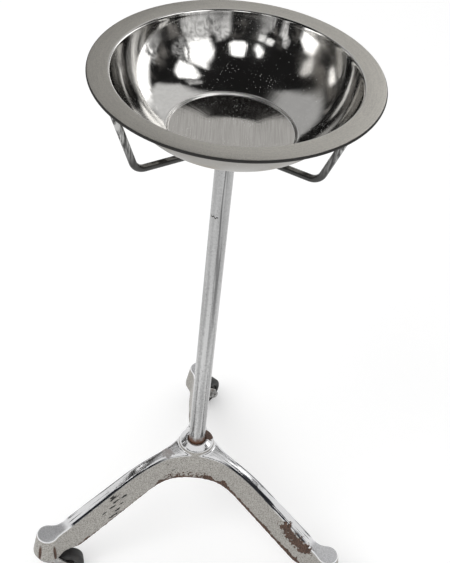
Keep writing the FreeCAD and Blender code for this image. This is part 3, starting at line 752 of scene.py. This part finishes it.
# A card is a strip on a sphere round the basin
# Each station is a bearing from the front, a lower and an upper elevation
def card(name, stations, material, radius=stageSizes["cardRadius"]):
    rows = stageSizes["cardRows"]
    mesh = bmesh.new()
    sheet = mesh.loops.layers.uv.new("card")
    columns = []
    spread = stageSizes["cardSpread"]
    middle = (stations[0][0] + stations[-1][0]) / 2
    for bearing, low, high in stations:
        bearing += (bearing - middle) * 2 * spread
        low, high = low - (high - low) * spread, high + (high - low) * spread
        ways = [radians(low + (high - low) * k / rows) for k in range(rows + 1)]
        side = (sin(radians(bearing)), -cos(radians(bearing)))
        columns.append([mesh.verts.new((radius * cos(way) * side[0], radius * cos(way) * side[1],
                                        radius * sin(way) + stageSizes["cardHeight"])) for way in ways])
    for i in range(len(columns) - 1):
        for k in range(rows):
            corners = [(i, k), (i + 1, k), (i + 1, k + 1), (i, k + 1)]
            face = mesh.faces.new([columns[a][b] for a, b in corners])
            for loop, (a, b) in zip(face.loops, corners):
                loop[sheet].uv = (a / (len(columns) - 1), b / rows)
    onlyMirrored(stagePiece(name, mesh, material))


glowLook = {
    "bright": {"level": 2.1, "stripes": 0.20},
    "white": {"level": 1.2, "stripes": 0.25},
    "wall": {"level": 0.66, "stripes": 0.45},
    "grey": {"level": 0.42, "stripes": 0.75},
    "plainWall": {"level": 0.72, "stripes": 0.06},
    "plainGrey": {"level": 0.46, "stripes": 0.06},
    "dim": {"level": 0.24, "stripes": 0.85},
}
cardPlaces = {
    "middleLamp": ("bright", [(-8, 45, 60), (-4, 40, 62), (7, 40, 62), (13, 45, 60)]),
    "leftLamp": ("bright", [(-34, 49, 57), (-29, 45, 58), (-25, 41, 53), (-20, 40, 48)]),
    "smallLamp": ("white", [(-39, 29, 37), (-34, 27, 38), (-29, 29, 36)]),
    "smallLampRight": ("white", [(-28, 25, 35), (-24, 25, 36), (-20, 25, 35)]),
    "smallStrip": ("grey", [(-34, -1, 16), (-28, -1, 20), (-26, 1, 25), (-18, 1, 25)]),
    "slantStrip": ("wall", [(-54, 23, 32), (-48, 14, 31), (-46, 1, 23), (-40, 1, 19)]),
    "archLeft": ("wall", [(11, 1, 26), (14, 1, 34), (18, 2, 38), (21, 23, 40), (29, 31, 41)]),
    "archInside": ("grey", [(19, 1, 31), (25, 1, 32), (31, 1, 30)]),
    "mainWindow": ("bright", [(35, 36, 46), (40, 32, 54), (46, 30, 60), (54, 30, 63), (61, 33, 65),
                              (66, 38, 67), (72, 46, 69), (79, 58, 70)]),
    "mainLow": ("wall", [(31, 0, 22), (38, -1, 35), (46, -1, 37), (54, -1, 35), (59, 4, 32)]),
    "sideGrey": ("dim", [(59, 22, 34), (68, 22, 48), (76, 26, 54), (84, 36, 50)]),
    "ceilingLamp": ("bright", [(81, 45, 53), (87, 44, 61), (95, 45, 65), (103, 46, 67), (108, 49, 66),
                               (114, 53, 65)]),
    "highStreak": ("grey", [(117, 55, 67), (124, 57, 68), (131, 58, 66)]),
    "rightWall": ("plainWall", [(126, 38, 50), (130, 32, 53), (136, 26, 57), (144, 22, 59), (152, 19, 61),
                                (160, 19, 58), (166, 19, 56)]),
    "windowBand": ("bright", [(99, 2, 14), (106, 2, 19), (114, 3, 23), (122, 5, 26), (132, 9, 28),
                              (142, 14, 27), (152, 17, 24)]),
    "windowSide": ("grey", [(84, 2, 11), (93, 2, 19), (100, 5, 26), (107, 14, 28)]),
    "backWall": ("plainWall", [(163, 17, 58), (172, 19, 60), (182, 19, 60), (192, 17, 58)]),
    "leftWall": ("plainGrey", [(-172, 18, 46), (-165, 18, 50), (-158, 19, 56), (-150, 19, 60),
                               (-143, 21, 62), (-135, 23, 64), (-126, 25, 60), (-117, 28, 46)]),
    "highLamp": ("white", [(-96, 33, 42), (-90, 27, 43), (-86, 21, 39), (-80, 19, 30)]),
    "slantLamp": ("bright", [(-82, 3, 17), (-78, 1, 22), (-72, 0, 23), (-67, 0, 18), (-61, 1, 10)]),
    "farSpot": ("bright", [(-121, 11, 18), (-114, 10, 18), (-106, 7, 12)]),
}
glows = {name: glow(name + "Glow", look, stageSizes) for name, look in glowLook.items()}
roomGlow = darkGlow(stageSizes, stageLook)

studioFloor(stageSizes, stageLook)
darkHood(stageSizes, roomGlow)
skirt = [(bearing, *stageSizes["skirtElevations"]) for bearing in range(*stageSizes["skirtBearings"])]
card("darkSkirt", skirt, roomGlow, stageSizes["skirtRadius"])
for name, (kind, stations) in cardPlaces.items():
    card(name, stations, glows[kind])
whiteCanopy(stageSizes)


# One soft lamp, high on the left
lampSizes = {"place": (-1.4, -1.2, 2.8), "target": (0, 0, 0.4), "width": 2.0, "power": 26}


def softLamp(name, sizes):
    data = bpy.data.lights.new(name, "AREA")
    data.shape = "DISK"
    data.size = sizes["width"]
    data.energy = sizes["power"]
    lamp = bpy.data.objects.new(name, data)
    lamp.location = sizes["place"]
    ahead = Vector(sizes["target"]) - Vector(sizes["place"])
    lamp.rotation_euler = ahead.to_track_quat("-Z", "Y").to_euler()
    lamp.visible_glossy = False
    bpy.context.scene.collection.objects.link(lamp)


softLamp("keyLamp", lampSizes)


def studioWorld(sky):
    made = Finish(bpy.data.worlds.new("studioWorld"))
    shade = made.blend(seenRay(made), rgb(sky, sky, sky), rgb(1, 1, 1))
    light = made.node("ShaderNodeBackground", {}, {"Color": shade, "Strength": 1.0})
    made.node("ShaderNodeOutputWorld", {}, {"Surface": light})
    bpy.context.scene.world = made.owner


studioWorld(stageLook["sky"])
print("stage set")


# Camera, at the viewing angle found from the rim, the floor of the basin and the column
cameraSizes = {
    "focalPixels": 1100,
    "framePixels": 563,
    "sensor": 36,
    "yaw": 2.54,
    "pitch": 41.67,
    "roll": 6.44,
    "place": (-0.0334, -1.1307, 1.5513),
    "shiftPixels": (0.0, 0.6),
}


def photoCamera(sizes):
    data = bpy.data.cameras.new("photoCamera")
    data.sensor_width = sizes["sensor"]
    data.lens = sizes["focalPixels"] * sizes["sensor"] / sizes["framePixels"]
    data.shift_x, data.shift_y = (pixels / sizes["framePixels"] for pixels in sizes["shiftPixels"])
    yaw, pitch, roll = (radians(sizes[key]) for key in ("yaw", "pitch", "roll"))
    ahead = Vector((sin(yaw) * cos(pitch), cos(yaw) * cos(pitch), -sin(pitch)))
    level = Vector((cos(yaw), -sin(yaw), 0))
    upward = level.cross(ahead)
    right = level * cos(roll) + upward * sin(roll)
    top = upward * cos(roll) - level * sin(roll)
    turn = Matrix((right, top, -ahead)).transposed().to_4x4()
    camera = bpy.data.objects.new("photoCamera", data)
    camera.matrix_world = Matrix.Translation(sizes["place"]) @ turn
    bpy.context.scene.collection.objects.link(camera)
    bpy.context.scene.camera = camera


photoCamera(cameraSizes)
bpy.context.scene.view_settings.view_transform = "Standard"
print("camera placed")
